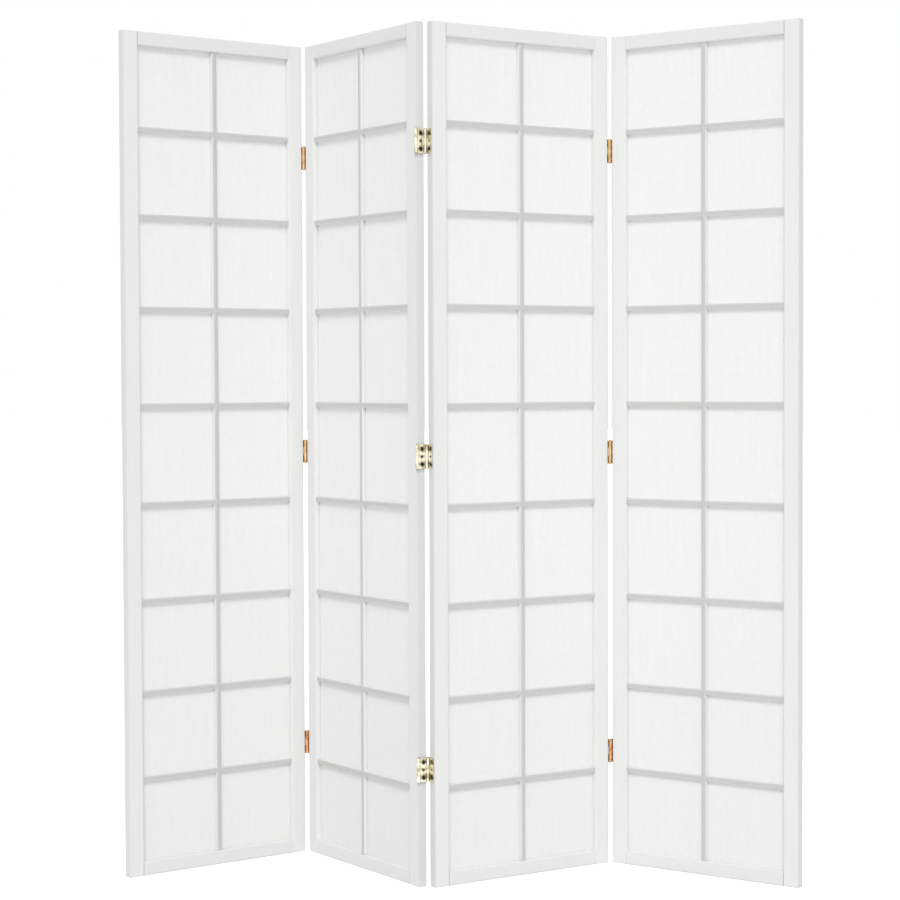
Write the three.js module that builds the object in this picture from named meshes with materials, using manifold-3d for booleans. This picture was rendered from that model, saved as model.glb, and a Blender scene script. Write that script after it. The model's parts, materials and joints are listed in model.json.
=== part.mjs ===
// Four-panel shoji folding screen: white-painted frames with a lattice of thin bars, paper
// pasted behind the lattice and held by a bead, and three two-way brass hinges at each joint
// between panels. Millimetres. +Z is up, -Y is the front, and the floor is Z = 0.

import * as THREE from 'three';
import { mergeVertices } from 'three/addons/utils/BufferGeometryUtils.js';
import Module from 'manifold-3d';

const wasm = await Module();
wasm.setup();

// ---------------------------------------------------------------- driving dimensions

// Panel frame
const PANEL_WIDTH = 450;
const PANEL_HEIGHT = 1790;
const FRAME_DEPTH = 20;
const STILE_WIDTH = 35;
const RAIL_HEIGHT = 30;
const FRONT_ROUND = 2.5; // radius on the two front edges of a stile or rail
const BACK_EASE = 1; // chamfer on their two back edges
const END_EASE = 1; // chamfer round the ends of a stile

// Frame joints
const TENON_LENGTH = 22;
const TENON_HEIGHT = 20;
const TENON_THICKNESS = 6;
const TENON_SETBACK = 4; // front face of the frame to the front of the tenon

// Lattice
const ROWS = 9;
const ROW_SWELL = 0.09; // the middle row is this share taller than the mean, the end rows shorter
const BAR_WIDTH = 12;
const BAR_DEPTH = 9;
const BAR_ROUND = 4; // radius on the two front edges of a bar
const BAR_SETBACK = 2; // front face of the frame to the front of the bars
const STUB_LENGTH = 6;
const STUB_WIDTH = 7;
const STUB_THICKNESS = 5;

// Paper and the bead that holds it
const REBATE_WIDTH = 8;
const PAPER_THICKNESS = 0.4;
const BEAD_DEPTH = 6;

// Fits
const FIT = 0.3; // clearance between pieces that seat on or in each other

// Two-way hinge: left leaf, link plate with two pins, right leaf
const HINGE_HEIGHT = 50;
const HINGE_INSET = 245; // end of the panel to the middle of the top and bottom hinges
const LEAF_THICKNESS = 1.5;
const LINK_THICKNESS = 1.5;
const PLATE_SPACE = 1.35; // air between a closed leaf and the link plate
const LEAF_SHORT = 5.5; // a leaf stops this far from the face opposite its own knuckles
const PIN_RADIUS = 1.6;
const PIN_PROUD = 1.5; // pin axis to the face of the panel
const PIN_OVERHANG = 0.8; // end of the pin beyond the last knuckle
const SCREWS_PER_LEAF = 3;
const SCREW_PITCH = 16;
const SCREW_HEAD_RADIUS = 2.9;
const SCREW_SHANK_RADIUS = 1.5;
const ACCESS_RADIUS = 3.6; // holes in the link plate that a screwdriver passes through

// How the screen stands: turn of the first panel, and how each joint is folded (degrees)
const FIRST_PANEL_TURN = 40;
const FOLDS = [
  { pin: 'front', turn: -94 },
  { pin: 'back', turn: 89.5 },
  { pin: 'front', turn: -69 },
];

// Fineness of the round forms
const FRAME_ROUND_STEPS = 2;
const BAR_ROUND_STEPS = 2;
const BARREL_SIDES = 10;
const BORE_SIDES = 8;
const SCREW_HOLE_SIDES = 6;

// ---------------------------------------------------------------- derived dimensions

const openingWidth = PANEL_WIDTH - 2 * STILE_WIDTH;
const openingTop = PANEL_HEIGHT - RAIL_HEIGHT;
const ledgeDepth = BAR_SETBACK + BAR_DEPTH; // front face of the frame to the ledge for the paper
const railMiddles = [RAIL_HEIGHT / 2, PANEL_HEIGHT - RAIL_HEIGHT / 2];
const hingeMiddles = [HINGE_INSET, PANEL_HEIGHT / 2, PANEL_HEIGHT - HINGE_INSET];

const barrelRadius = LINK_THICKNESS / 2 + PLATE_SPACE + LEAF_THICKNESS;
const halfGap = barrelRadius + FIT; // pins' plane to the edge of either panel
const plateStart = barrelRadius + 2 * FIT; // pin axis to the near edge of a plate
const knuckleHeight = (HINGE_HEIGHT - 2 * FIT) / 3;
const frontPinY = -PIN_PROUD;
const backPinY = FRAME_DEPTH + PIN_PROUD;

// Heights of the cross bars' middles: the rows swell towards the middle of the panel
const meanRow = (openingTop - RAIL_HEIGHT) / ROWS;
const barHeights = [];
let rowTop = RAIL_HEIGHT;
for (let row = 0; row < ROWS - 1; row++) {
  rowTop += meanRow * (1 - ROW_SWELL * Math.cos((2 * Math.PI * (row + 0.5)) / ROWS));
  barHeights.push(rowTop);
}

// ---------------------------------------------------------------- materials

const whitePaint = () =>
  new THREE.MeshStandardMaterial({ color: 0xf0f0ee, roughness: 0.5, metalness: 0 });
const shojiPaper = () =>
  new THREE.MeshStandardMaterial({ color: 0xf6f5f1, roughness: 0.9, metalness: 0 });
const brass = () =>
  new THREE.MeshStandardMaterial({ color: 0xc79a4e, roughness: 0.3, metalness: 1 });

// ---------------------------------------------------------------- solid tools

function toSolid(geometry) {
  const bare = geometry.clone();
  bare.deleteAttribute('normal');
  bare.deleteAttribute('uv');
  const merged = mergeVertices(bare, 1e-4);
  return new wasm.Manifold(
    new wasm.Mesh({
      numProp: 3,
      vertProperties: new Float32Array(merged.attributes.position.array),
      triVerts: new Uint32Array(merged.index.array),
    }),
  );
}

// Geometry of a solid joined from some pieces and then cut by others
function shaped(pieces, cutters = []) {
  const [first, ...others] = pieces.map(toSolid);
  const blank = others.reduce((solid, piece) => solid.add(piece), first);
  const solid = cutters.map(toSolid).reduce((rest, cutter) => rest.subtract(cutter), blank);
  const mesh = solid.getMesh();
  const geometry = new THREE.BufferGeometry();
  geometry.setAttribute('position', new THREE.BufferAttribute(mesh.vertProperties, 3));
  geometry.setIndex(new THREE.BufferAttribute(mesh.triVerts, 1));
  return geometry;
}

// Box between two corners
function block([x0, y0, z0], [x1, y1, z1]) {
  const box = new THREE.BoxGeometry(x1 - x0, y1 - y0, z1 - z0);
  return box.translate((x0 + x1) / 2, (y0 + y1) / 2, (z0 + z1) / 2);
}

function arc(x, y, radius, fromAngle, toAngle, steps) {
  return Array.from({ length: steps + 1 }, (_, step) => {
    const angle = fromAngle + ((toAngle - fromAngle) * step) / steps;
    return new THREE.Vector2(x + radius * Math.cos(angle), y + radius * Math.sin(angle));
  });
}

// Section of a stile, rail or bar, centred on X = 0: front edges rounded, back edges chamfered
function memberSection(width, front, depth, round, steps, ease) {
  const side = width / 2;
  const back = front + depth;
  return new THREE.Shape([
    ...arc(round - side, front + round, round, Math.PI, 1.5 * Math.PI, steps),
    ...arc(side - round, front + round, round, 1.5 * Math.PI, 2 * Math.PI, steps),
    new THREE.Vector2(side, back - ease),
    new THREE.Vector2(side - ease, back),
    new THREE.Vector2(ease - side, back),
    new THREE.Vector2(-side, back - ease),
  ]);
}

function extruded(section, z0, z1) {
  const sweep = new THREE.ExtrudeGeometry(section, { depth: z1 - z0, bevelEnabled: false });
  return sweep.translate(0, 0, z0);
}

// The same, lying along X with its middle at height z
function extrudedAcross(section, x0, x1, z) {
  return extruded(section, x0, x1).rotateY(Math.PI / 2).translate(0, 0, z);
}

// ---------------------------------------------------------------- panel frame
// A panel stands along X from its left edge at X = 0, with its front face at Y = 0.

const stileSection = memberSection(
  STILE_WIDTH,
  0,
  FRAME_DEPTH,
  FRONT_ROUND,
  FRAME_ROUND_STEPS,
  BACK_EASE,
);
const railSection = memberSection(
  RAIL_HEIGHT,
  0,
  FRAME_DEPTH,
  FRONT_ROUND,
  FRAME_ROUND_STEPS,
  BACK_EASE,
);
const stubFront = BAR_SETBACK + (BAR_DEPTH - STUB_THICKNESS) / 2;
const stubBack = stubFront + STUB_THICKNESS;

// Left stile, with the edge of the opening at X = 0
function leftStileGeometry() {
  const body = new THREE.ExtrudeGeometry(stileSection, {
    depth: PANEL_HEIGHT - 2 * END_EASE,
    bevelThickness: END_EASE,
    bevelSize: END_EASE,
    bevelOffset: -END_EASE,
    bevelSegments: 1,
  }).translate(-STILE_WIDTH / 2, 0, END_EASE);
  const rebate = block(
    [-REBATE_WIDTH, ledgeDepth, RAIL_HEIGHT - REBATE_WIDTH],
    [STILE_WIDTH, 2 * FRAME_DEPTH, openingTop + REBATE_WIDTH],
  );
  const railMortises = railMiddles.map((z) =>
    block(
      [-TENON_LENGTH - FIT, TENON_SETBACK - FIT, z - TENON_HEIGHT / 2 - FIT],
      [STILE_WIDTH, TENON_SETBACK + TENON_THICKNESS + FIT, z + TENON_HEIGHT / 2 + FIT],
    ),
  );
  const barMortises = barHeights.map((z) =>
    block(
      [-STUB_LENGTH - FIT, stubFront - FIT, z - STUB_WIDTH / 2 - FIT],
      [STILE_WIDTH, stubBack + FIT, z + STUB_WIDTH / 2 + FIT],
    ),
  );
  return shaped([body], [rebate, ...railMortises, ...barMortises]);
}

// Mirror image left to right, with the corner order turned so that faces still look outward
function mirrored(geometry) {
  const mirror = geometry.clone().scale(-1, 1, 1);
  mirror.index.array.reverse();
  return mirror;
}

// Rail, centred on X = 0 and Z = 0, with the opening above it
function railGeometry() {
  const end = openingWidth / 2 - FIT;
  const body = extrudedAcross(railSection, -end, end, 0);
  const tenons = block(
    [-end - TENON_LENGTH, TENON_SETBACK, -TENON_HEIGHT / 2],
    [end + TENON_LENGTH, TENON_SETBACK + TENON_THICKNESS, TENON_HEIGHT / 2],
  );
  const rebate = block(
    [-openingWidth, ledgeDepth, RAIL_HEIGHT / 2 - REBATE_WIDTH],
    [openingWidth, 2 * FRAME_DEPTH, RAIL_HEIGHT],
  );
  const barMortise = block(
    [-STUB_WIDTH / 2 - FIT, stubFront - FIT, RAIL_HEIGHT / 2 - STUB_LENGTH - FIT],
    [STUB_WIDTH / 2 + FIT, stubBack + FIT, RAIL_HEIGHT],
  );
  return shaped([body, tenons], [rebate, barMortise]);
}

// The same rail with the opening below it
function upsideDown(geometry) {
  const turned = geometry.clone().scale(1, 1, -1);
  turned.index.array.reverse();
  return turned;
}

// ---------------------------------------------------------------- lattice, paper and bead

const barSection = memberSection(BAR_WIDTH, BAR_SETBACK, BAR_DEPTH, BAR_ROUND, BAR_ROUND_STEPS, 0);

// One upright and the cross bars, half-lapped flush and glued, with a stub on every end
function latticeGeometry() {
  const end = openingWidth / 2 - FIT;
  const low = RAIL_HEIGHT + FIT;
  const high = openingTop - FIT;
  const bars = [extruded(barSection, low, high)];
  const stubs = [
    block(
      [-STUB_WIDTH / 2, stubFront, low - STUB_LENGTH],
      [STUB_WIDTH / 2, stubBack, high + STUB_LENGTH],
    ),
  ];
  for (const z of barHeights) {
    bars.push(extrudedAcross(barSection, -end, end, z));
    stubs.push(
      block(
        [-end - STUB_LENGTH, stubFront, z - STUB_WIDTH / 2],
        [end + STUB_LENGTH, stubBack, z + STUB_WIDTH / 2],
      ),
    );
  }
  return shaped([...bars, ...stubs]);
}

// Half width, bottom and top of what lies in the rebate, and of the clear view through it
const rebateHalf = openingWidth / 2 + REBATE_WIDTH - FIT;
const rebateLow = RAIL_HEIGHT - REBATE_WIDTH + FIT;
const rebateHigh = openingTop + REBATE_WIDTH - FIT;
const paperFront = ledgeDepth + FIT;
const beadFront = paperFront + PAPER_THICKNESS + FIT;

function paperGeometry() {
  return block(
    [-rebateHalf, paperFront, rebateLow],
    [rebateHalf, paperFront + PAPER_THICKNESS, rebateHigh],
  );
}

// Mitred ring of bead, as deep as the rebate is wide
function beadGeometry() {
  const ring = block(
    [-rebateHalf, beadFront, rebateLow],
    [rebateHalf, beadFront + BEAD_DEPTH, rebateHigh],
  );
  const view = block(
    [-openingWidth / 2, 0, RAIL_HEIGHT],
    [openingWidth / 2, 2 * FRAME_DEPTH, openingTop],
  );
  return shaped([ring], [view]);
}

// ---------------------------------------------------------------- two-way hinge
// Drawn in the gap between two panels that stand in line: X = 0 is the pins' plane, the front
// of the panels is Y = 0 and the middle of the hinge is Z = 0.

const screwHeights = Array.from(
  { length: SCREWS_PER_LEAF },
  (_, screw) => (screw - (SCREWS_PER_LEAF - 1) / 2) * SCREW_PITCH,
);

// Corner radius of the faceted hole that a round tool of the access radius passes through
const accessCorner = ACCESS_RADIUS / Math.cos(Math.PI / SCREW_HOLE_SIDES);

// Left leaf, on the edge of the panel to the left: its knuckles wrap the front pin
function leftLeafGeometry() {
  const face = LEAF_THICKNESS - barrelRadius; // the leaf's free face
  const wrapEnd = Math.acos(face / barrelRadius); // where the eye's curve meets that face
  const wrapSteps = Math.ceil((BARREL_SIDES * (Math.PI + wrapEnd)) / (2 * Math.PI));
  const plate = block(
    [-barrelRadius, frontPinY + plateStart, -HINGE_HEIGHT / 2],
    [face, FRAME_DEPTH - LEAF_SHORT, HINGE_HEIGHT / 2],
  );
  const eye = new THREE.Shape([
    ...arc(0, frontPinY, barrelRadius, Math.PI, 2 * Math.PI + wrapEnd, wrapSteps),
    new THREE.Vector2(face, frontPinY + plateStart + LEAF_THICKNESS),
    new THREE.Vector2(-barrelRadius, frontPinY + plateStart + LEAF_THICKNESS),
  ]);
  const boreRadius = (PIN_RADIUS + FIT) / Math.cos(Math.PI / BORE_SIDES);
  eye.holes.push(new THREE.Path(arc(0, frontPinY, boreRadius, 2 * Math.PI, 0, BORE_SIDES)));
  const knuckles = [
    extruded(eye, -HINGE_HEIGHT / 2, knuckleHeight - HINGE_HEIGHT / 2),
    extruded(eye, HINGE_HEIGHT / 2 - knuckleHeight, HINGE_HEIGHT / 2),
  ];
  const flare = (SCREW_HEAD_RADIUS - SCREW_SHANK_RADIUS) / LEAF_THICKNESS;
  const countersinks = screwHeights.map((z) =>
    new THREE.CylinderGeometry(
      SCREW_SHANK_RADIUS - flare * FIT,
      SCREW_HEAD_RADIUS + flare * FIT,
      LEAF_THICKNESS + 2 * FIT,
      SCREW_HOLE_SIDES,
    )
      .rotateZ(Math.PI / 2)
      .translate(face - LEAF_THICKNESS / 2, FRAME_DEPTH / 2, z),
  );
  return shaped([plate, ...knuckles], countersinks);
}

// Right leaf: the left one turned half round the middle of the joint, so it wraps the back pin
function rightLeafGeometry() {
  return leftLeafGeometry()
    .translate(0, -FRAME_DEPTH / 2, 0)
    .rotateZ(Math.PI)
    .translate(0, FRAME_DEPTH / 2, 0);
}

// Link: a plate with a barrel along each side, and a pin riveted through each barrel
function linkGeometry() {
  const pinEnd = HINGE_HEIGHT / 2 + PIN_OVERHANG;
  const barrelEnd = knuckleHeight / 2;
  const outline = [
    [0, -pinEnd],
    [PIN_RADIUS, -pinEnd],
    [PIN_RADIUS, -barrelEnd],
    [barrelRadius, -barrelEnd],
    [barrelRadius, barrelEnd],
    [PIN_RADIUS, barrelEnd],
    [PIN_RADIUS, pinEnd],
    [0, pinEnd],
  ].map(([radius, z]) => new THREE.Vector2(radius, z));
  const barrels = [frontPinY, backPinY].map((y) =>
    new THREE.LatheGeometry(outline, BARREL_SIDES).rotateX(Math.PI / 2).translate(0, y, 0),
  );
  const tongue = block(
    [-LINK_THICKNESS / 2, frontPinY, -barrelEnd],
    [LINK_THICKNESS / 2, backPinY, barrelEnd],
  );
  const plate = block(
    [-LINK_THICKNESS / 2, frontPinY + plateStart, -HINGE_HEIGHT / 2],
    [LINK_THICKNESS / 2, backPinY - plateStart, HINGE_HEIGHT / 2],
  );
  const accessHoles = screwHeights.map((z) =>
    new THREE.CylinderGeometry(accessCorner, accessCorner, 2 * LINK_THICKNESS, SCREW_HOLE_SIDES)
      .rotateZ(Math.PI / 2)
      .translate(0, FRAME_DEPTH / 2, z),
  );
  return shaped([plate, tongue, ...barrels], accessHoles);
}

// ---------------------------------------------------------------- assembly

const leftStile = leftStileGeometry();
const rightStile = mirrored(leftStile);
const bottomRail = railGeometry();
const topRail = upsideDown(bottomRail);
const lattice = latticeGeometry();
const paper = paperGeometry();
const bead = beadGeometry();
const leftLeaf = leftLeafGeometry();
const rightLeaf = rightLeafGeometry();
const link = linkGeometry();

function piece(name, geometry, material, x, y = 0, z = 0) {
  const mesh = new THREE.Mesh(geometry, material);
  mesh.name = name;
  mesh.position.set(x, y, z);
  return mesh;
}

function group(x, y, turn = 0) {
  const holder = new THREE.Group();
  holder.position.set(x, y, 0);
  holder.rotation.z = THREE.MathUtils.degToRad(turn);
  return holder;
}

function panel(number, x, y) {
  const middle = PANEL_WIDTH / 2;
  const name = `panel_${number}`;
  return group(x, y).add(
    piece(`${name}_left_stile`, leftStile, whitePaint(), STILE_WIDTH),
    piece(`${name}_right_stile`, rightStile, whitePaint(), PANEL_WIDTH - STILE_WIDTH),
    piece(`${name}_bottom_rail`, bottomRail, whitePaint(), middle, 0, railMiddles[0]),
    piece(`${name}_top_rail`, topRail, whitePaint(), middle, 0, railMiddles[1]),
    piece(`${name}_lattice`, lattice, whitePaint(), middle),
    piece(`${name}_paper`, paper, shojiPaper(), middle),
    piece(`${name}_bead`, bead, whitePaint(), middle),
  );
}

// Adds one member of the hinges at a joint to its holder, whose own origin is at x, y from
// the place where the hinge is drawn.
function addHingeMembers(holder, joint, member, geometry, x, y) {
  ['bottom', 'middle', 'top'].forEach((level, index) => {
    const name = `joint_${joint}_${level}_${member}`;
    holder.add(piece(name, geometry, brass(), x, y, hingeMiddles[index]));
  });
}

// Each panel carries the next: a turn about the front pin moves the link and what follows it,
// and a turn about the back pin moves only the next panel.
const screen = group(0, 0, FIRST_PANEL_TURN);
let carrier = panel(1, 0, 0);
screen.add(carrier);
FOLDS.forEach(({ pin, turn }, index) => {
  const joint = index + 1;
  const pinsX = PANEL_WIDTH + halfGap;
  addHingeMembers(carrier, joint, 'left_leaf', leftLeaf, pinsX, 0);
  const linkHolder = group(pinsX, frontPinY, pin === 'front' ? turn : 0);
  addHingeMembers(linkHolder, joint, 'link', link, 0, -frontPinY);
  const backHolder = group(0, backPinY - frontPinY, pin === 'back' ? turn : 0);
  addHingeMembers(backHolder, joint, 'right_leaf', rightLeaf, 0, -backPinY);
  const next = panel(joint + 1, halfGap, -backPinY);
  carrier.add(linkHolder);
  linkHolder.add(backHolder);
  backHolder.add(next);
  carrier = next;
});

// The origin is the middle of the floor that the screen stands on.
screen.updateMatrixWorld(true);
const extent = new THREE.Box3().setFromObject(screen, true);
const centre = extent.getCenter(new THREE.Vector3());
screen.position.set(-centre.x, -centre.y, -extent.min.z);

const foldingScreen = new THREE.Group();
foldingScreen.add(screen);

export default foldingScreen;
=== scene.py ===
"""A four-panel shoji folding screen: white painted frames, paper and brass two-way hinges."""

import json
import math

import bmesh
import bpy
from mathutils import Matrix, Vector


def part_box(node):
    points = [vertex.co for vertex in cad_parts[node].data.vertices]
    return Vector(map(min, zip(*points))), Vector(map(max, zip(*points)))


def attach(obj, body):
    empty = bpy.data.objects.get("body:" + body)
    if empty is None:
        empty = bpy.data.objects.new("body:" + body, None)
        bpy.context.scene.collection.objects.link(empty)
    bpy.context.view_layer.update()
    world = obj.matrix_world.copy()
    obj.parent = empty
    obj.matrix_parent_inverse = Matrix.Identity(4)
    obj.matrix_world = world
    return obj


MM = 0.001

# ---------------------------------------------------------------- sizes, in metres

PANELS = (1, 2, 3, 4)
JOINTS = (1, 2, 3)
LEVELS = ("bottom", "middle", "top")

STILE_WIDTH = 35 * MM
BAR_WIDTH = 12 * MM
HINGE_SEAT = 0.3 * MM  # edge of the panel to the back of a leaf
LEAF_THICKNESS = 1.5 * MM

RAIL_HEIGHT = 30 * MM
ROWS = 9
ROW_SWELL = 0.09  # how much lower the end rows are than the middle ones
BEAD_WIDTH = 8 * MM

BRAD_RADIUS = 1.0 * MM
BRAD_CROWN = 0.22 * MM
BRAD_SHOULDER = 0.7  # share of a brad's radius and crown at which its dome breaks
BRAD_SHANK = 3 * MM
BRAD_SPACING = 160 * MM
BRAD_FROM_CORNER = 25 * MM
BRAD_SIDES = 16

SCREW_PITCH = 16 * MM
SCREW_HEAD_RADIUS = 2.75 * MM
SCREW_SHANK_RADIUS = 1.4 * MM
SCREW_HEAD_DEPTH = 1.35 * MM
SCREW_LENGTH = 4 * MM
SCREW_SINK = 0.12 * MM  # head below the face of the leaf
SCREW_RIM = 0.15 * MM  # straight edge of the head
SCREW_CROWN = 0.1 * MM
SCREW_TURNS = (0.4, 1.1, 0.7)  # radians, times the joint's number, at which each screw stopped
SCREW_SIDES = 48
SCREW_FACE_RINGS = 12
RECESS_REACH = 1.7 * MM  # centre of the head to the end of each arm of the cross
RECESS_HALF_WIDTH = 0.38 * MM
RECESS_SLOPE = 0.18 * MM
RECESS_DEPTH = 0.8 * MM

PIN_HEAD_RADIUS = 2.7 * MM
PIN_HEAD_HEIGHT = 1.1 * MM
PIN_OVERHANG = 0.8 * MM  # end of the pin beyond the last knuckle
PIN_HEAD_GAP = 0.15 * MM  # last knuckle to the underside of the pin's head
PIN_HEAD_SIDES = 32
PIN_DOME_RINGS = 6
CREASE_ANGLE = 40  # degrees at and above which an edge of a screw, pin head or brad stays sharp

# ---------------------------------------------------------------- view and light

CAMERA_PLACE = (0.1726, -4.9575, 1.0633)
CAMERA_TURN = 2.25  # degrees to the left of straight ahead
CAMERA_TILT = -1.855  # degrees above level
CAMERA_ROLL = -0.22
LENS = 92.6  # on a sensor 36 mm wide

SKY_STRENGTH = 0.64
GROUND_GREY = 0.8
GROUND_GLOW = 0.5
GROUND_REACH = 40
GROUND_CELLS = 8
FRONT_LAMP = {"strength": 1.38, "height": 43, "side": -1, "softness": 24}
BACK_LAMP = {"strength": 0.6, "height": 48, "side": 184, "softness": 40}


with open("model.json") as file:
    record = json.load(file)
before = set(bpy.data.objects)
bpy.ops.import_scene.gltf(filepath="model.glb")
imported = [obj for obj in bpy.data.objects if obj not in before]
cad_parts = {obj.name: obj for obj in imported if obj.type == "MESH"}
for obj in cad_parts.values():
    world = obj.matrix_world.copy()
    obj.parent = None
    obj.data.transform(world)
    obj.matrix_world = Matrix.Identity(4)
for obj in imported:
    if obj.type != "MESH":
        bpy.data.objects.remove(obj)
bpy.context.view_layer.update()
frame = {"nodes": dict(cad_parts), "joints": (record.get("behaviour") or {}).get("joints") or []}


# ---------------------------------------------------------------- places

def middle(node):
    low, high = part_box(node)
    return (low + high) / 2


def stile_to_stile(number):
    """Level vector from the middle of a panel's left stile to that of its right one."""
    across = middle(f"panel_{number}_right_stile") - middle(f"panel_{number}_left_stile")
    return Vector((across.x, across.y, 0))


def panel_direction(number):
    """Unit vector along a panel, from its left stile to its right one."""
    return stile_to_stile(number).normalized()


def panel_turn(number):
    direction = panel_direction(number)
    return math.atan2(direction.y, direction.x)


def panel_middle(number):
    ends = middle(f"panel_{number}_left_stile") + middle(f"panel_{number}_right_stile")
    return ends / 2


def panel_half_width(number):
    """Half the width of a panel, from outer edge to outer edge."""
    return (stile_to_stile(number).length + STILE_WIDTH) / 2


def bead_reach(number):
    """Half the width and both ends of a panel's bead, to the outside of its mitres."""
    bead = f"panel_{number}_bead"
    direction, centre = panel_direction(number), panel_middle(number)
    corners = frame["nodes"][bead].data.vertices
    low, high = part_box(bead)
    return max((corner.co - centre).dot(direction) for corner in corners), low.z, high.z


def cross_bar_heights():
    """Middle of each cross bar: rows are lower towards both ends of the panel."""
    low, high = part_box("panel_1_left_stile")
    mean = (high.z - low.z - 2 * RAIL_HEIGHT) / ROWS
    heights, height = [], low.z + RAIL_HEIGHT
    for row in range(ROWS - 1):
        height += mean * (1 - ROW_SWELL * math.cos(2 * math.pi * (row + 0.5) / ROWS))
        heights.append(height)
    return heights


# ---------------------------------------------------------------- shader tools

def add_node(tree, kind, label=None, **settings):
    node = tree.nodes.new(kind)
    if label:
        node.label = label
    for name, value in settings.items():
        setattr(node, name, value)
    return node


def feed(tree, socket, source):
    """Sets a socket to a value, or links it to another node's socket."""
    if isinstance(source, bpy.types.NodeSocket):
        tree.links.new(source, socket)
    else:
        socket.default_value = source


def maths(tree, operation, *sources, clamp=False):
    node = add_node(tree, "ShaderNodeMath", operation=operation, use_clamp=clamp)
    for socket, source in zip(node.inputs, sources):
        feed(tree, socket, source)
    return node.outputs[0]


def blend_colours(tree, share, first, second, mode="MIX"):
    node = add_node(tree, "ShaderNodeMix", data_type="RGBA", blend_type=mode)
    feed(tree, node.inputs["Factor"], share)
    feed(tree, node.inputs["A"], first)
    feed(tree, node.inputs["B"], second)
    return node.outputs["Result"]


def ramp(tree, value, low, high, low_out=0.0, high_out=1.0):
    node = add_node(tree, "ShaderNodeMapRange", clamp=True)
    for name, source in (
        ("Value", value),
        ("From Min", low),
        ("From Max", high),
        ("To Min", low_out),
        ("To Max", high_out),
    ):
        feed(tree, node.inputs[name], source)
    return node.outputs["Result"]


def noise(tree, place, scale, detail=3.0, roughness=0.5, distortion=0.0):
    node = add_node(tree, "ShaderNodeTexNoise")
    feed(tree, node.inputs["Vector"], place)
    feed(tree, node.inputs["Scale"], scale)
    node.inputs["Detail"].default_value = detail
    node.inputs["Roughness"].default_value = roughness
    node.inputs["Distortion"].default_value = distortion
    return node.outputs["Fac"]


def stretched(tree, place, stretch):
    node = add_node(tree, "ShaderNodeVectorMath", operation="MULTIPLY")
    feed(tree, node.inputs[0], place)
    node.inputs[1].default_value = stretch
    return node.outputs["Vector"]


def new_group(name, inputs, outputs):
    """Node group; returns it with what it is given and with the sockets that it puts out."""
    group = bpy.data.node_groups.new(name, "ShaderNodeTree")
    kinds = {"value": "NodeSocketFloat", "vector": "NodeSocketVector"}
    for socket_name, kind, default in inputs:
        socket = group.interface.new_socket(socket_name, in_out="INPUT", socket_type=kinds[kind])
        if default is not None:
            socket.default_value = default
    for socket_name, kind in outputs:
        group.interface.new_socket(socket_name, in_out="OUTPUT", socket_type=kinds[kind])
    source = group.nodes.new("NodeGroupInput")
    sink = group.nodes.new("NodeGroupOutput")
    return group, source.outputs, sink.inputs


def place_group(tree, group, **sources):
    node = add_node(tree, "ShaderNodeGroup", node_tree=group)
    for name, source in sources.items():
        feed(tree, node.inputs[name.replace("_", " ")], source)
    return node.outputs


# ---------------------------------------------------------------- shared effects

# How often a pattern repeats per metre: along the grain, then across it both ways.
RING_PITCH = (6, 260, 260)
PORE_PITCH = (45, 1500, 1500)
BRUSH_PITCH = (9, 900, 900)
DRIFT_PITCH = (4, 14, 14)


def wood_under_paint():
    """Grain and brush marks of painted softwood. Place runs along the grain in X."""
    group, given, out = new_group(
        "wood under paint",
        [("Place", "vector", None), ("Grain", "value", 1.0), ("Brush", "value", 1.0)],
        [("Tone", "value"), ("Height", "value")],
    )
    rings = noise(group, stretched(group, given["Place"], RING_PITCH), 1.0, 4.0, 0.55, 0.6)
    pores = noise(group, stretched(group, given["Place"], PORE_PITCH), 1.0, 2.0, 0.6)
    strokes = noise(group, stretched(group, given["Place"], BRUSH_PITCH), 1.0, 3.0, 0.65, 0.2)
    drifts = noise(group, stretched(group, given["Place"], DRIFT_PITCH), 1.0, 2.0)
    grain = maths(group, "ADD", maths(group, "MULTIPLY", rings, 0.6), maths(group, "MULTIPLY", pores, 0.4))
    grain = maths(group, "MULTIPLY", grain, given["Grain"])
    brush = maths(group, "MULTIPLY", strokes, given["Brush"])
    tone = maths(group, "ADD", maths(group, "MULTIPLY", grain, 0.5), maths(group, "MULTIPLY", drifts, 0.5))
    feed(group, out["Tone"], tone)
    feed(group, out["Height"], maths(group, "ADD", grain, maths(group, "MULTIPLY", brush, 0.5)))
    return group


def edge_mask():
    """1 along worn edges, in patches: where a softened normal leans away from the flat one."""
    group, given, out = new_group(
        "edge mask",
        [("Reach", "value", 1.0 * MM), ("Patches", "vector", None)],
        [("Edge", "value")],
    )
    soft = add_node(group, "ShaderNodeBevel", samples=4)
    feed(group, soft.inputs["Radius"], given["Reach"])
    flat = add_node(group, "ShaderNodeNewGeometry")
    agreement = add_node(group, "ShaderNodeVectorMath", operation="DOT_PRODUCT")
    feed(group, agreement.inputs[0], soft.outputs["Normal"])
    feed(group, agreement.inputs[1], flat.outputs["Normal"])
    edge = ramp(group, agreement.outputs["Value"], 0.995, 0.9)
    patches = ramp(group, noise(group, given["Patches"], 120.0, 4.0, 0.7), 0.4, 0.62)
    feed(group, out["Edge"], maths(group, "MULTIPLY", edge, patches))
    return group


def tarnish():
    """Where brass has browned: in soft patches, and in the corners that no cloth reaches."""
    group, given, out = new_group(
        "tarnish",
        [("Place", "vector", None), ("Patch", "value", 90.0), ("Reach", "value", 3.0 * MM)],
        [("Patches", "value"), ("Corners", "value")],
    )
    cloud = noise(group, given["Place"], given["Patch"], 2.5)
    feed(group, out["Patches"], ramp(group, cloud, 0.45, 0.68))
    open_sky = add_node(group, "ShaderNodeAmbientOcclusion", samples=8)
    feed(group, open_sky.inputs["Distance"], given["Reach"])
    feed(group, out["Corners"], ramp(group, open_sky.outputs["AO"], 0.8, 0.35))
    return group


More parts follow.
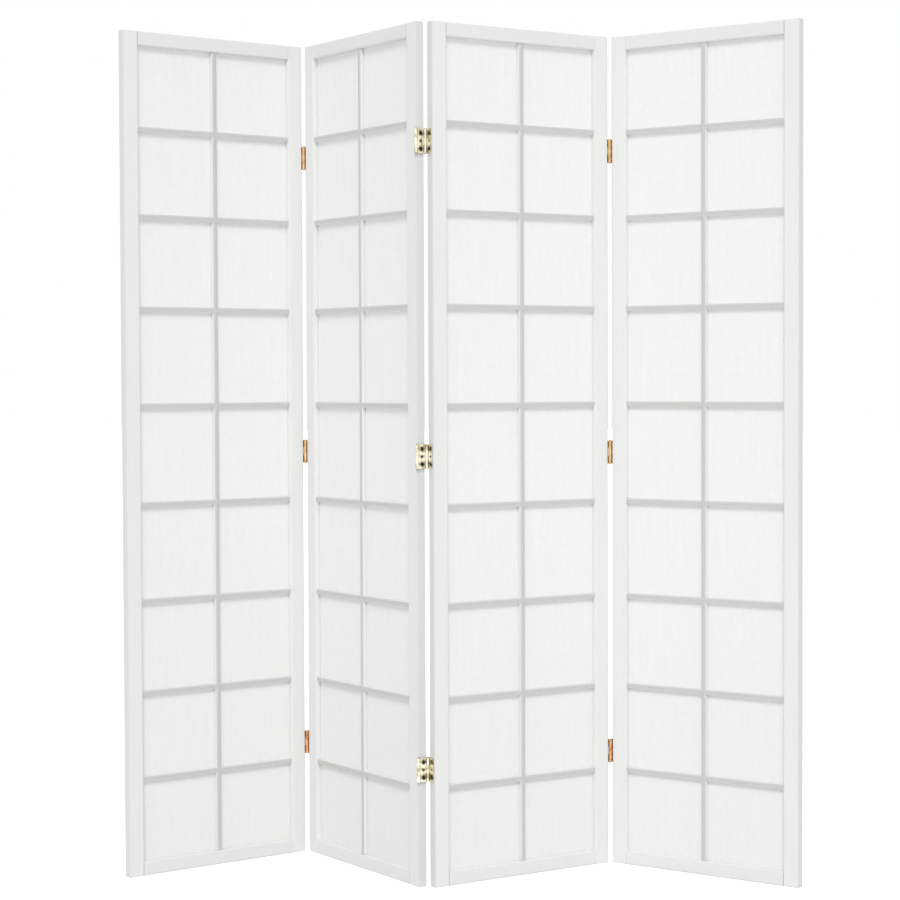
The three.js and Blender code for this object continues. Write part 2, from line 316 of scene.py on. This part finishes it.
WOOD = wood_under_paint()
EDGE = edge_mask()
TARNISH = tarnish()


# ---------------------------------------------------------------- materials

def new_material(name):
    """New node material; returns it with its node tree and its Principled shader."""
    material = bpy.data.materials.new(name)
    material.use_nodes = True
    tree = material.node_tree
    shader = tree.nodes["Principled BSDF"]
    return material, tree, shader


def add_relief(tree, shader, height, strength, depth, ease=None):
    """Bump from a height, on corners that are rounded by ease where one is given."""
    bump = add_node(tree, "ShaderNodeBump")
    bump.inputs["Strength"].default_value = strength
    bump.inputs["Distance"].default_value = depth
    feed(tree, bump.inputs["Height"], height)
    if ease:
        soften = add_node(tree, "ShaderNodeBevel", samples=4)
        soften.inputs["Radius"].default_value = ease
        feed(tree, bump.inputs["Normal"], soften.outputs["Normal"])
    feed(tree, shader.inputs["Normal"], bump.outputs["Normal"])


def object_place(tree):
    return add_node(tree, "ShaderNodeTexCoord").outputs["Object"]


def panel_place(tree, number):
    """Position in a panel: X along it from its middle, Y its depth, Z up."""
    away = add_node(tree, "ShaderNodeVectorMath", operation="SUBTRACT")
    feed(tree, away.inputs[0], object_place(tree))
    centre = panel_middle(number)
    away.inputs[1].default_value = (centre.x, centre.y, 0)
    turned = add_node(tree, "ShaderNodeVectorRotate", rotation_type="Z_AXIS")
    feed(tree, turned.inputs["Vector"], away.outputs["Vector"])
    turned.inputs["Angle"].default_value = -panel_turn(number)
    return turned.outputs["Vector"]


def upended(tree, place):
    """The same place with its Z put first, for grain that runs upright, and its X by itself."""
    parts = add_node(tree, "ShaderNodeSeparateXYZ")
    feed(tree, parts.inputs[0], place)
    joined = add_node(tree, "ShaderNodeCombineXYZ")
    for socket, axis in zip(joined.inputs, "ZXY"):
        feed(tree, socket, parts.outputs[axis])
    return joined.outputs[0], parts.outputs["X"]


PAINTS = {  # fresh coat and thin coat, in one grey each
    "upright": (0.84, 0.80),
    "level": (0.81, 0.775),
    "bead": (0.83, 0.79),
    "lattice": (0.83, 0.79),
}
# Painted shade: the fronts of the bars and their upper slopes are painted grey, on bars as white as the
# frame.
BAR_PAINTED_SHADE = (0.585, 0.585, 0.582, 1)
UPPER_SLOPE_FORWARD = 0.75
UPPER_SLOPE_UPWARD = 0.66
OPEN_MITRE = (0.36, 0.35, 0.33, 1)
BARE_EDGE = (0.78, 0.76, 0.72, 1)
# Painted shade on the outer edge faces of each panel.
EDGE_FACE_SHADE = (0.70, 0.70, 0.695, 1)
EDGE_FACE_SHADE_SHARE = 0.75
EDGE_FACE_SHADE_FULL = 1 * MM  # from the outer edge of a panel, greyed most
EDGE_FACE_SHADE_END = 3 * MM  # from the outer edge, where the grey ends
WORN_SHARE = 0.25
MITRE_SHARE = 0.7
MITRE_HALF_WIDTH = 0.15 * MM
MITRE_FADE = 0.35 * MM
PAINT_RELIEF = 0.12 * MM
PAINT_EASE = 0.8 * MM


def grey(value):
    return (value, value, value * 0.996, 1)


def painted_shade_on_bars(tree, number):
    """1 on the front of a panel's bars and on their upper slopes, where shade is painted; 0 on sides and
    undersides.
    """
    direction = panel_direction(number)
    front = Vector((direction.y, -direction.x, 0))
    upper = (front * UPPER_SLOPE_FORWARD + Vector((0, 0, UPPER_SLOPE_UPWARD))).normalized()
    masks = []
    for aim, low, high in ((front, 0.1, 0.95), (upper, 0.0, 0.7)):
        leaning = add_node(tree, "ShaderNodeVectorMath", operation="DOT_PRODUCT")
        feed(tree, leaning.inputs[0], add_node(tree, "ShaderNodeTexCoord").outputs["Normal"])
        leaning.inputs[1].default_value = aim
        masks.append(ramp(tree, leaning.outputs["Value"], low, high))
    return maths(tree, "MULTIPLY", *masks)


def mitre_lines(tree, place, number):
    """Fine lines across the four corners of a bead, where its strips meet."""
    reach, low, high = bead_reach(number)
    parts = add_node(tree, "ShaderNodeSeparateXYZ")
    feed(tree, parts.inputs[0], place)
    from_side = maths(tree, "SUBTRACT", reach, maths(tree, "ABSOLUTE", parts.outputs["X"]))
    from_foot = maths(tree, "SUBTRACT", parts.outputs["Z"], low)
    from_head = maths(tree, "SUBTRACT", high, parts.outputs["Z"])
    from_end = maths(tree, "MINIMUM", from_foot, from_head)
    off_line = maths(tree, "ABSOLUTE", maths(tree, "SUBTRACT", from_side, from_end))
    return ramp(tree, off_line, MITRE_FADE, MITRE_HALF_WIDTH, 0, MITRE_SHARE)


def white_paint(name, number, run):
    """Satin white paint on softwood; run is upright, level, bead or lattice."""
    material, tree, shader = new_material(name)
    fresh, thin = (grey(value) for value in PAINTS[run])
    place = panel_place(tree, number)
    tall, sideways = upended(tree, place)
    along = {"upright": tall, "bead": tall, "level": place}.get(run)
    if run == "lattice":
        off_middle = maths(tree, "ABSOLUTE", sideways)
        on_cross_bar = maths(tree, "GREATER_THAN", off_middle, BAR_WIDTH / 2)
        swap = add_node(tree, "ShaderNodeMix", data_type="VECTOR")
        feed(tree, swap.inputs["Factor"], on_cross_bar)
        feed(tree, swap.inputs["A"], tall)
        feed(tree, swap.inputs["B"], place)
        along = swap.outputs["Result"]
        crown = painted_shade_on_bars(tree, number)
    wood = place_group(tree, WOOD, Place=along, Grain=1.0, Brush=1.0)
    edge = place_group(tree, EDGE, Reach=1.2 * MM, Patches=place)["Edge"]
    tone = ramp(tree, wood["Tone"], 0.35, 0.7)
    colour = blend_colours(tree, tone, fresh, thin)
    half = panel_half_width(number)
    off_centre = maths(tree, "ABSOLUTE", sideways)
    # Painted shade towards the outer edges of the panel.
    outer = ramp(tree, off_centre, half - EDGE_FACE_SHADE_END, half - EDGE_FACE_SHADE_FULL, 0, EDGE_FACE_SHADE_SHARE)
    colour = blend_colours(tree, outer, colour, EDGE_FACE_SHADE)
    # Painted shade on the fronts and upper slopes of the bars.
    if run == "lattice":
        colour = blend_colours(tree, crown, colour, BAR_PAINTED_SHADE)
    if run == "bead":
        colour = blend_colours(tree, mitre_lines(tree, place, number), colour, OPEN_MITRE)
    worn = maths(tree, "MULTIPLY", edge, WORN_SHARE)
    colour = blend_colours(tree, worn, colour, BARE_EDGE)
    feed(tree, shader.inputs["Base Color"], colour)
    feed(tree, shader.inputs["Roughness"], ramp(tree, wood["Height"], 0.3, 1.1, 0.42, 0.58))
    add_relief(tree, shader, wood["Height"], 0.35, PAINT_RELIEF, ease=PAINT_EASE)
    return material


# Painted shade where the bars lie behind the paper, fading just beyond them.
SHOW_THROUGH_FADE = 0.5 * MM


def over_bars(tree, place):
    """1 on the paper that is glued to a bar of the lattice, fading just beyond it: where the bar's shade is
    painted on.
    """
    parts = add_node(tree, "ShaderNodeSeparateXYZ")
    feed(tree, parts.inputs[0], place)
    off_bar = maths(tree, "ABSOLUTE", parts.outputs["X"])
    for height in cross_bar_heights():
        off_this = maths(tree, "ABSOLUTE", maths(tree, "SUBTRACT", parts.outputs["Z"], height))
        off_bar = maths(tree, "MINIMUM", off_bar, off_this)
    return ramp(tree, off_bar, BAR_WIDTH / 2 + SHOW_THROUGH_FADE, BAR_WIDTH / 2 - SHOW_THROUGH_FADE)


FIBRE_RUNS = ((0.5, 620), (1.7, 540), (2.7, 700))  # turn in radians, threads per metre
FIBRE_STRETCH = 22
FIBRE_HALF_WIDTH = 0.012  # as a share of the noise's own range
LAID_PITCH = (230, 1, 5)
COCKLE_PITCH = (9, 1, 9)
PAPER_LIGHT = 0.905
PAPER_DENSE = 0.865
PAPER_FIBRE = (0.94, 0.94, 0.935, 1)
# Painted shade: the paper is greyed towards the foot.
FOOT_SHADE_GREY = 0.80
FOOT_SHADE_REACH = 0.75  # height at which the darkening starts
FOOT_SHADE_SHARE = 0.35
SHOW_THROUGH_SHADE_GREY = 0.72
SHOW_THROUGH_SHADE_SHARE = 0.5
PAPER_RELIEF = 0.1 * MM


def shoji_paper(name, number):
    """Thin white paper with long scattered fibres."""
    material, tree, shader = new_material(name)
    place = panel_place(tree, number)
    cockle = noise(tree, stretched(tree, place, COCKLE_PITCH), 1.0, 2.0)
    fibres = None
    for turn, threads in FIBRE_RUNS:
        turned = add_node(tree, "ShaderNodeVectorRotate", rotation_type="Y_AXIS")
        feed(tree, turned.inputs["Vector"], place)
        turned.inputs["Angle"].default_value = turn
        run = stretched(tree, turned.outputs["Vector"], (FIBRE_STRETCH, 1, threads))
        strand = noise(tree, run, 1.0, 1.0, 0.5, 1.6)
        off_strand = maths(tree, "ABSOLUTE", maths(tree, "SUBTRACT", strand, 0.5))
        line = ramp(tree, off_strand, FIBRE_HALF_WIDTH, 0.0)
        fibres = line if fibres is None else maths(tree, "MAXIMUM", fibres, line)
    scatter = ramp(tree, noise(tree, place, 60.0, 2.0), 0.5, 0.62)
    fibres = maths(tree, "MULTIPLY", fibres, scatter)
    laid = noise(tree, stretched(tree, place, LAID_PITCH), 1.0, 3.0, 0.6)
    pulp = noise(tree, place, 90.0, 5.0, 0.65)
    mottle = maths(tree, "ADD", maths(tree, "MULTIPLY", laid, 0.5), maths(tree, "MULTIPLY", pulp, 0.5))
    cloud = ramp(tree, mottle, 0.38, 0.62)
    colour = blend_colours(tree, cloud, grey(PAPER_LIGHT), grey(PAPER_DENSE))
    height = add_node(tree, "ShaderNodeSeparateXYZ")
    feed(tree, height.inputs[0], place)
    # Painted shade, deepening towards the foot of the paper.
    foot_shade = ramp(tree, height.outputs["Z"], FOOT_SHADE_REACH, 0.0, 0.0, FOOT_SHADE_SHARE)
    colour = blend_colours(tree, foot_shade, colour, grey(FOOT_SHADE_GREY))
    colour = blend_colours(tree, maths(tree, "MULTIPLY", fibres, 0.5), colour, PAPER_FIBRE)
    # Painted shade where the lattice shows through the paper and just beside each bar.
    show_through_shade = maths(tree, "MULTIPLY", over_bars(tree, place), SHOW_THROUGH_SHADE_SHARE)
    colour = blend_colours(tree, show_through_shade, colour, grey(SHOW_THROUGH_SHADE_GREY))
    feed(tree, shader.inputs["Base Color"], colour)
    feed(tree, shader.inputs["Roughness"], ramp(tree, cloud, 0.0, 1.0, 0.82, 0.92))
    shader.inputs["Specular IOR Level"].default_value = 0.3
    raised = maths(tree, "MULTIPLY", fibres, 0.7)
    relief = maths(tree, "ADD", raised, maths(tree, "MULTIPLY", cockle, 0.3))
    add_relief(tree, shader, relief, 0.25, PAPER_RELIEF)
    return material


# Lit and shaded copies of one brass, from joint to joint: painted reflection of the white room on the
# middle joint, painted shade between the panels on the outer ones, deeper at the foot.
BRASS_PAINTED_REFLECTION = {"clean": (0.95, 0.90, 0.74, 1), "browned": (0.48, 0.42, 0.20, 1), "patch": 80}
BRASS_PAINTED_SHADE = {"clean": (0.88, 0.58, 0.27, 1), "browned": (0.64, 0.37, 0.14, 1), "patch": 70}
BRASS_PAINTED_DEEP_SHADE = {"clean": (0.88, 0.45, 0.20, 1), "browned": (0.58, 0.24, 0.08, 1), "patch": 70}
DARK_BRONZE = {"clean": (0.07, 0.05, 0.03, 1), "browned": (0.03, 0.02, 0.012, 1), "patch": 400}
RUBBED_BRASS = (0.95, 0.86, 0.60, 1)
CORNER_BROWN = (0.035, 0.025, 0.01, 1)
# Painted shade round the outer screws of the middle joint's plates.
SCREW_PAINTED_SHADE = (0.10, 0.075, 0.025, 1)
SCREW_SHADE_FULL = 3.5 * MM  # from the middle of a screw
SCREW_SHADE_END = 7.5 * MM
SCREW_SHADE_RAGGED = 2.2 * MM
ALONG_PLATE = (1, 1, 0.04)  # polishing marks run up and down a plate
BRASS_RELIEF = 0.03 * MM
BRASS_EASE = 0.35 * MM


def round_screws(tree, place, panel, stile):
    """Painted shade on a plate round the outer screws that go into the edge of one stile."""
    centre, direction = middle(f"panel_{panel}_{stile}"), panel_direction(panel)
    from_centre = add_node(tree, "ShaderNodeVectorMath", operation="SUBTRACT")
    feed(tree, from_centre.inputs[0], place)
    from_centre.inputs[1].default_value = (centre.x, centre.y, middle("joint_1_middle_link").z)
    across = add_node(tree, "ShaderNodeVectorMath", operation="DOT_PRODUCT")
    feed(tree, across.inputs[0], from_centre.outputs["Vector"])
    across.inputs[1].default_value = (-direction.y, direction.x, 0)
    parts = add_node(tree, "ShaderNodeSeparateXYZ")
    feed(tree, parts.inputs[0], from_centre.outputs["Vector"])
    level_gap = middle("joint_1_top_link").z - middle("joint_1_middle_link").z
    in_hinge = maths(tree, "WRAP", parts.outputs["Z"], level_gap / 2, -level_gap / 2)
    upward = maths(tree, "SUBTRACT", maths(tree, "ABSOLUTE", in_hinge), SCREW_PITCH)
    square = maths(tree, "POWER", across.outputs["Value"], 2.0)
    off = maths(tree, "SQRT", maths(tree, "ADD", square, maths(tree, "POWER", upward, 2.0)))
    ragged = ramp(tree, noise(tree, place, 260.0, 3.0), 0.3, 0.7, -SCREW_SHADE_RAGGED, SCREW_SHADE_RAGGED)
    return ramp(tree, maths(tree, "ADD", off, ragged), SCREW_SHADE_END, SCREW_SHADE_FULL)


def aged_brass(name, clean, browned, patch, rubbed=0.5, brushed=(1, 1, 1), shaded_round_screws=()):
    """Brass or bronze that has browned in patches, with fine marks from polishing."""
    material, tree, shader = new_material(name)
    place = object_place(tree)
    browning = place_group(tree, TARNISH, Place=place, Patch=patch)
    marks = noise(tree, stretched(tree, place, brushed), 2600.0, 2.0, 0.6)
    edge = place_group(tree, EDGE, Reach=0.5 * MM, Patches=place)["Edge"]
    colour = blend_colours(tree, browning["Patches"], clean, browned)
    # Painted shade round the outer screws.
    for panel, stile in shaded_round_screws:
        colour = blend_colours(tree, round_screws(tree, place, panel, stile), colour, SCREW_PAINTED_SHADE)
    colour = blend_colours(tree, maths(tree, "MULTIPLY", edge, rubbed), colour, RUBBED_BRASS)
    colour = blend_colours(tree, browning["Corners"], colour, CORNER_BROWN)
    feed(tree, shader.inputs["Base Color"], colour)
    shader.inputs["Metallic"].default_value = 1.0
    dulled = maths(tree, "MAXIMUM", browning["Patches"], browning["Corners"])
    dulled = ramp(tree, dulled, 0.0, 1.0, 0.26, 0.46)
    feed(tree, shader.inputs["Roughness"], maths(tree, "ADD", dulled, maths(tree, "MULTIPLY", marks, 0.08)))
    add_relief(tree, shader, marks, 0.2, BRASS_RELIEF, ease=BRASS_EASE)
    return material


def dress(node, material):
    slots = frame["nodes"][node].data.materials
    slots.clear()
    slots.append(material)


def dress_panels():
    for number in PANELS:
        upright = white_paint(f"white paint, upright, panel {number}", number, "upright")
        level = white_paint(f"white paint, level, panel {number}", number, "level")
        lattice = white_paint(f"white paint, lattice, panel {number}", number, "lattice")
        bead = white_paint(f"white paint, bead, panel {number}", number, "bead")
        dress(f"panel_{number}_bead", bead)
        make_brads(number, bead)
        for part in ("left_stile", "right_stile"):
            dress(f"panel_{number}_{part}", upright)
        for part in ("top_rail", "bottom_rail"):
            dress(f"panel_{number}_{part}", level)
        dress(f"panel_{number}_lattice", lattice)
        dress(f"panel_{number}_paper", shoji_paper(f"shoji paper, panel {number}", number))


def dress_hinges():
    """Brass of the middle joint is pale with painted reflection, of the outer ones amber and redder at the
    foot with painted shade.
    """
    plates = ((2, "right_stile"), (3, "left_stile"))
    pale = aged_brass("brass, painted reflection", **BRASS_PAINTED_REFLECTION, brushed=ALONG_PLATE, shaded_round_screws=plates)
    amber = aged_brass("brass, painted shade", **BRASS_PAINTED_SHADE, brushed=ALONG_PLATE)
    russet = aged_brass("brass, painted deeper shade", **BRASS_PAINTED_DEEP_SHADE, brushed=ALONG_PLATE)
    for joint in JOINTS:
        for level in LEVELS:
            outer = russet if level == "bottom" else amber
            for member in ("left_leaf", "link", "right_leaf"):
                dress(f"joint_{joint}_{level}_{member}", pale if joint == 2 else outer)


# ---------------------------------------------------------------- screws, pin heads and brads

def lathe(mesh, profile, sides, placing):
    """Adds a solid of revolution about Z: profile is (radius, height) from axis to axis."""
    rings = []
    for radius, height in profile:
        angles = [2 * math.pi * side / sides for side in range(sides if radius else 1)]
        points = [(radius * math.cos(angle), radius * math.sin(angle)) for angle in angles]
        rings.append([mesh.verts.new(placing @ Vector((x, y, height))) for x, y in points])
    for lower, upper in zip(rings, rings[1:]):
        for side in range(sides):
            after = (side + 1) % sides
            corners = [lower[side % len(lower)], lower[after % len(lower)]]
            corners += [upper[after % len(upper)], upper[side % len(upper)]]
            mesh.faces.new(list(dict.fromkeys(corners)))
    return rings


def smooth_step(value, low, high):
    share = min(max((value - low) / (high - low), 0), 1)
    return share * share * (3 - 2 * share)


def recess_depth(x, y):
    """Depth of the cross recess at a point of a screw's face."""
    along, across = max(abs(x), abs(y)), min(abs(x), abs(y))
    wall = 1 - smooth_step(across, RECESS_HALF_WIDTH, RECESS_HALF_WIDTH + RECESS_SLOPE)
    floor = 1 - smooth_step(along, RECESS_REACH / 3, RECESS_REACH)
    return RECESS_DEPTH * wall * floor


def add_screw(mesh, placing):
    """Countersunk screw whose face looks along Z, with the rim of its head at the origin."""
    shank = [
        (0, -SCREW_LENGTH),
        (SCREW_SHANK_RADIUS, -SCREW_LENGTH),
        (SCREW_SHANK_RADIUS, -SCREW_HEAD_DEPTH),
        (SCREW_HEAD_RADIUS, -SCREW_RIM),
    ]
    steps = SCREW_FACE_RINGS
    radii = [SCREW_HEAD_RADIUS * step / steps for step in range(steps, -1, -1)]
    face = [(r, SCREW_CROWN * (1 - (r / SCREW_HEAD_RADIUS) ** 2)) for r in radii]
    rings = lathe(mesh, shank + face, SCREW_SIDES, placing)
    inward = placing.to_3x3() @ Vector((0, 0, -1))
    flat = placing.inverted()
    for ring in rings[len(shank):]:
        for vertex in ring:
            x, y, _ = flat @ vertex.co
            vertex.co += inward * recess_depth(x, y)


def add_pin_head(mesh, placing):
    """Domed head that closes the end of a pin: Z runs out along the pin from its knuckle."""
    angles = [math.pi / 2 * step / PIN_DOME_RINGS for step in range(PIN_DOME_RINGS)]
    dome = [
        (PIN_HEAD_RADIUS * math.cos(angle), PIN_HEAD_GAP + PIN_HEAD_HEIGHT * math.sin(angle))
        for angle in angles
    ]
    profile = [(0, PIN_HEAD_GAP)] + dome + [(0, PIN_HEAD_GAP + PIN_HEAD_HEIGHT)]
    lathe(mesh, profile, PIN_HEAD_SIDES, placing)


def make_brads(number, material):
    """Painted brads that hold a bead in its rebate."""
    reach, low, high = bead_reach(number)
    direction, centre = panel_direction(number), panel_middle(number)
    away = Vector((-direction.y, direction.x, 0))
    corners = frame["nodes"][f"panel_{number}_bead"].data.vertices
    face = max((corner.co - centre).dot(away) for corner in corners)
    side, foot, head = reach - BEAD_WIDTH / 2, low + BEAD_WIDTH / 2, high - BEAD_WIDTH / 2
    spots = [(x, z) for z in spaced(low, high) for x in (-side, side)]
    spots += [(x, z) for x in spaced(-reach, reach) for z in (foot, head)]
    profile = [(0, -BRAD_SHANK), (BRAD_RADIUS / 2, -BRAD_SHANK), (BRAD_RADIUS / 2, 0)]
    profile += [(BRAD_RADIUS, 0), (BRAD_RADIUS * BRAD_SHOULDER, BRAD_CROWN * BRAD_SHOULDER)]
    profile += [(0, BRAD_CROWN)]
    mesh = bmesh.new()
    for x, z in spots:
        place = centre + direction * x + away * face
        place.z = z
        lathe(mesh, profile, BRAD_SIDES, facing(away, place))
    make_piece(mesh, f"panel_{number}_bead_brads", material, f"panel_{number}")


def spaced(start, end):
    """Even places between two mitred corners, about a brad's spacing apart."""
    first, last = start + BRAD_FROM_CORNER, end - BRAD_FROM_CORNER
    steps = round((last - first) / BRAD_SPACING)
    return [first + (last - first) * step / steps for step in range(steps + 1)]


def make_piece(mesh, name, material, body):
    """Turns a mesh into a smooth object that rides on a body."""
    bmesh.ops.recalc_face_normals(mesh, faces=mesh.faces)
    data = bpy.data.meshes.new(name)
    mesh.to_mesh(data)
    mesh.free()
    data.materials.append(material)
    data.shade_smooth()
    data.set_sharp_from_angle(angle=math.radians(CREASE_ANGLE))
    piece = bpy.data.objects.new(name, data)
    bpy.context.scene.collection.objects.link(piece)
    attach(piece, body)


def facing(direction, place):
    """Placing at a point with Z along the given level direction."""
    return Matrix.Translation(place) @ direction.to_track_quat("Z", "Y").to_matrix().to_4x4()


def make_leaf_screws(joint, level, member, material):
    """Screws through a leaf into the edge of its panel, at the middle of the edge."""
    panel, stile, outward = {
        "left_leaf": (joint, "right_stile", 1),
        "right_leaf": (joint + 1, "left_stile", -1),
    }[member]
    leaf = f"joint_{joint}_{level}_{member}"
    direction = panel_direction(panel) * outward
    face = STILE_WIDTH / 2 + HINGE_SEAT + LEAF_THICKNESS - SCREW_SINK
    place = middle(f"panel_{panel}_{stile}") + direction * face
    mesh = bmesh.new()
    for number, height in enumerate((-SCREW_PITCH, 0, SCREW_PITCH)):
        place.z = middle(leaf).z + height
        turn = Matrix.Rotation(SCREW_TURNS[number] * joint, 4, "Z")
        add_screw(mesh, facing(direction, place) @ turn)
    make_piece(mesh, f"{leaf}_screws", material, f"panel_{panel}")


def pin_places(joint):
    """A point on the axis of each of a joint's two pins."""
    return [
        Vector(found["pos_m"])
        for found in frame["joints"]
        if found["name"].startswith(f"joint_{joint}_")
    ]


def make_pin_heads(joint, level, material):
    """Heads on both ends of both pins of a link."""
    link = f"joint_{joint}_{level}_link"
    low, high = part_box(link)
    up = Vector((0, 0, 1))
    mesh = bmesh.new()
    for pin in pin_places(joint):
        top = Vector((pin.x, pin.y, high.z - PIN_OVERHANG))
        bottom = Vector((pin.x, pin.y, low.z + PIN_OVERHANG))
        add_pin_head(mesh, facing(up, top))
        add_pin_head(mesh, facing(-up, bottom))
    make_piece(mesh, f"{link}_pin_heads", material, f"link_{joint}")


def make_hinge_fittings():
    bronze = aged_brass("dark bronze", **DARK_BRONZE, rubbed=0.15)
    for joint in JOINTS:
        for level in LEVELS:
            make_leaf_screws(joint, level, "left_leaf", bronze)
            make_leaf_screws(joint, level, "right_leaf", bronze)
            make_pin_heads(joint, level, bronze)


# ---------------------------------------------------------------- studio

def ground_material():
    """White ground that keeps a soft shadow, and looks white to the eye and in brass."""
    material, tree, shader = new_material("white ground")
    tree.nodes.remove(shader)
    matt = add_node(tree, "ShaderNodeBsdfDiffuse")
    matt.inputs["Color"].default_value = (GROUND_GREY, GROUND_GREY, GROUND_GREY, 1)
    glow = add_node(tree, "ShaderNodeEmission")
    glow.inputs["Strength"].default_value = GROUND_GLOW
    lit = add_node(tree, "ShaderNodeAddShader")
    feed(tree, lit.inputs[0], matt.outputs[0])
    feed(tree, lit.inputs[1], glow.outputs[0])
    choose = add_node(tree, "ShaderNodeMixShader")
    feed(tree, choose.inputs[0], seen_directly(tree))
    feed(tree, choose.inputs[1], matt.outputs[0])
    feed(tree, choose.inputs[2], lit.outputs[0])
    feed(tree, tree.nodes["Material Output"].inputs["Surface"], choose.outputs[0])
    return material


def seen_directly(tree):
    """1 for camera, glossy and transmission rays."""
    path = add_node(tree, "ShaderNodeLightPath")
    mirrored = maths(tree, "MAXIMUM", path.outputs["Is Glossy Ray"], path.outputs["Is Transmission Ray"])
    return maths(tree, "MAXIMUM", path.outputs["Is Camera Ray"], mirrored)


def make_ground():
    mesh = bmesh.new()
    cells = {"x_segments": GROUND_CELLS, "y_segments": GROUND_CELLS}
    bmesh.ops.create_grid(mesh, **cells, size=GROUND_REACH)
    data = bpy.data.meshes.new("ground")
    mesh.to_mesh(data)
    mesh.free()
    data.materials.append(ground_material())
    ground = bpy.data.objects.new("ground", data)
    bpy.context.scene.collection.objects.link(ground)


def make_sky():
    world = bpy.data.worlds.new("white studio")
    bpy.context.scene.world = world
    world.use_nodes = True
    tree = world.node_tree
    background = tree.nodes["Background"]
    background.inputs["Color"].default_value = (1, 1, 1, 1)
    strength = ramp(tree, seen_directly(tree), 0, 1, SKY_STRENGTH, 1.0)
    feed(tree, background.inputs["Strength"], strength)


def make_lamp(name, strength, height, side, softness):
    """Far lamp: height above level, side to the right of the front, softness as its width."""
    lamp = bpy.data.lights.new(name, "SUN")
    lamp.energy = strength
    lamp.angle = math.radians(softness)
    holder = bpy.data.objects.new(name, lamp)
    turn = Matrix.Rotation(math.radians(side), 4, "Z")
    tilt = Matrix.Rotation(math.radians(90 - height), 4, "X")
    holder.matrix_world = turn @ tilt
    bpy.context.scene.collection.objects.link(holder)


def make_camera():
    camera = bpy.data.cameras.new("camera")
    camera.lens = LENS
    holder = bpy.data.objects.new("camera", camera)
    turn = Matrix.Rotation(math.radians(CAMERA_TURN), 4, "Z")
    tilt = Matrix.Rotation(math.radians(90 + CAMERA_TILT), 4, "X")
    roll = Matrix.Rotation(math.radians(CAMERA_ROLL), 4, "Z")
    holder.matrix_world = Matrix.Translation(CAMERA_PLACE) @ turn @ tilt @ roll
    bpy.context.scene.collection.objects.link(holder)
    bpy.context.scene.camera = holder


make_camera()
make_ground()
make_sky()
make_lamp("lamp in front", **FRONT_LAMP)
make_lamp("lamp behind", **BACK_LAMP)

dress_panels()
dress_hinges()
make_hinge_fittings()

bpy.context.scene.view_settings.view_transform = "Standard"
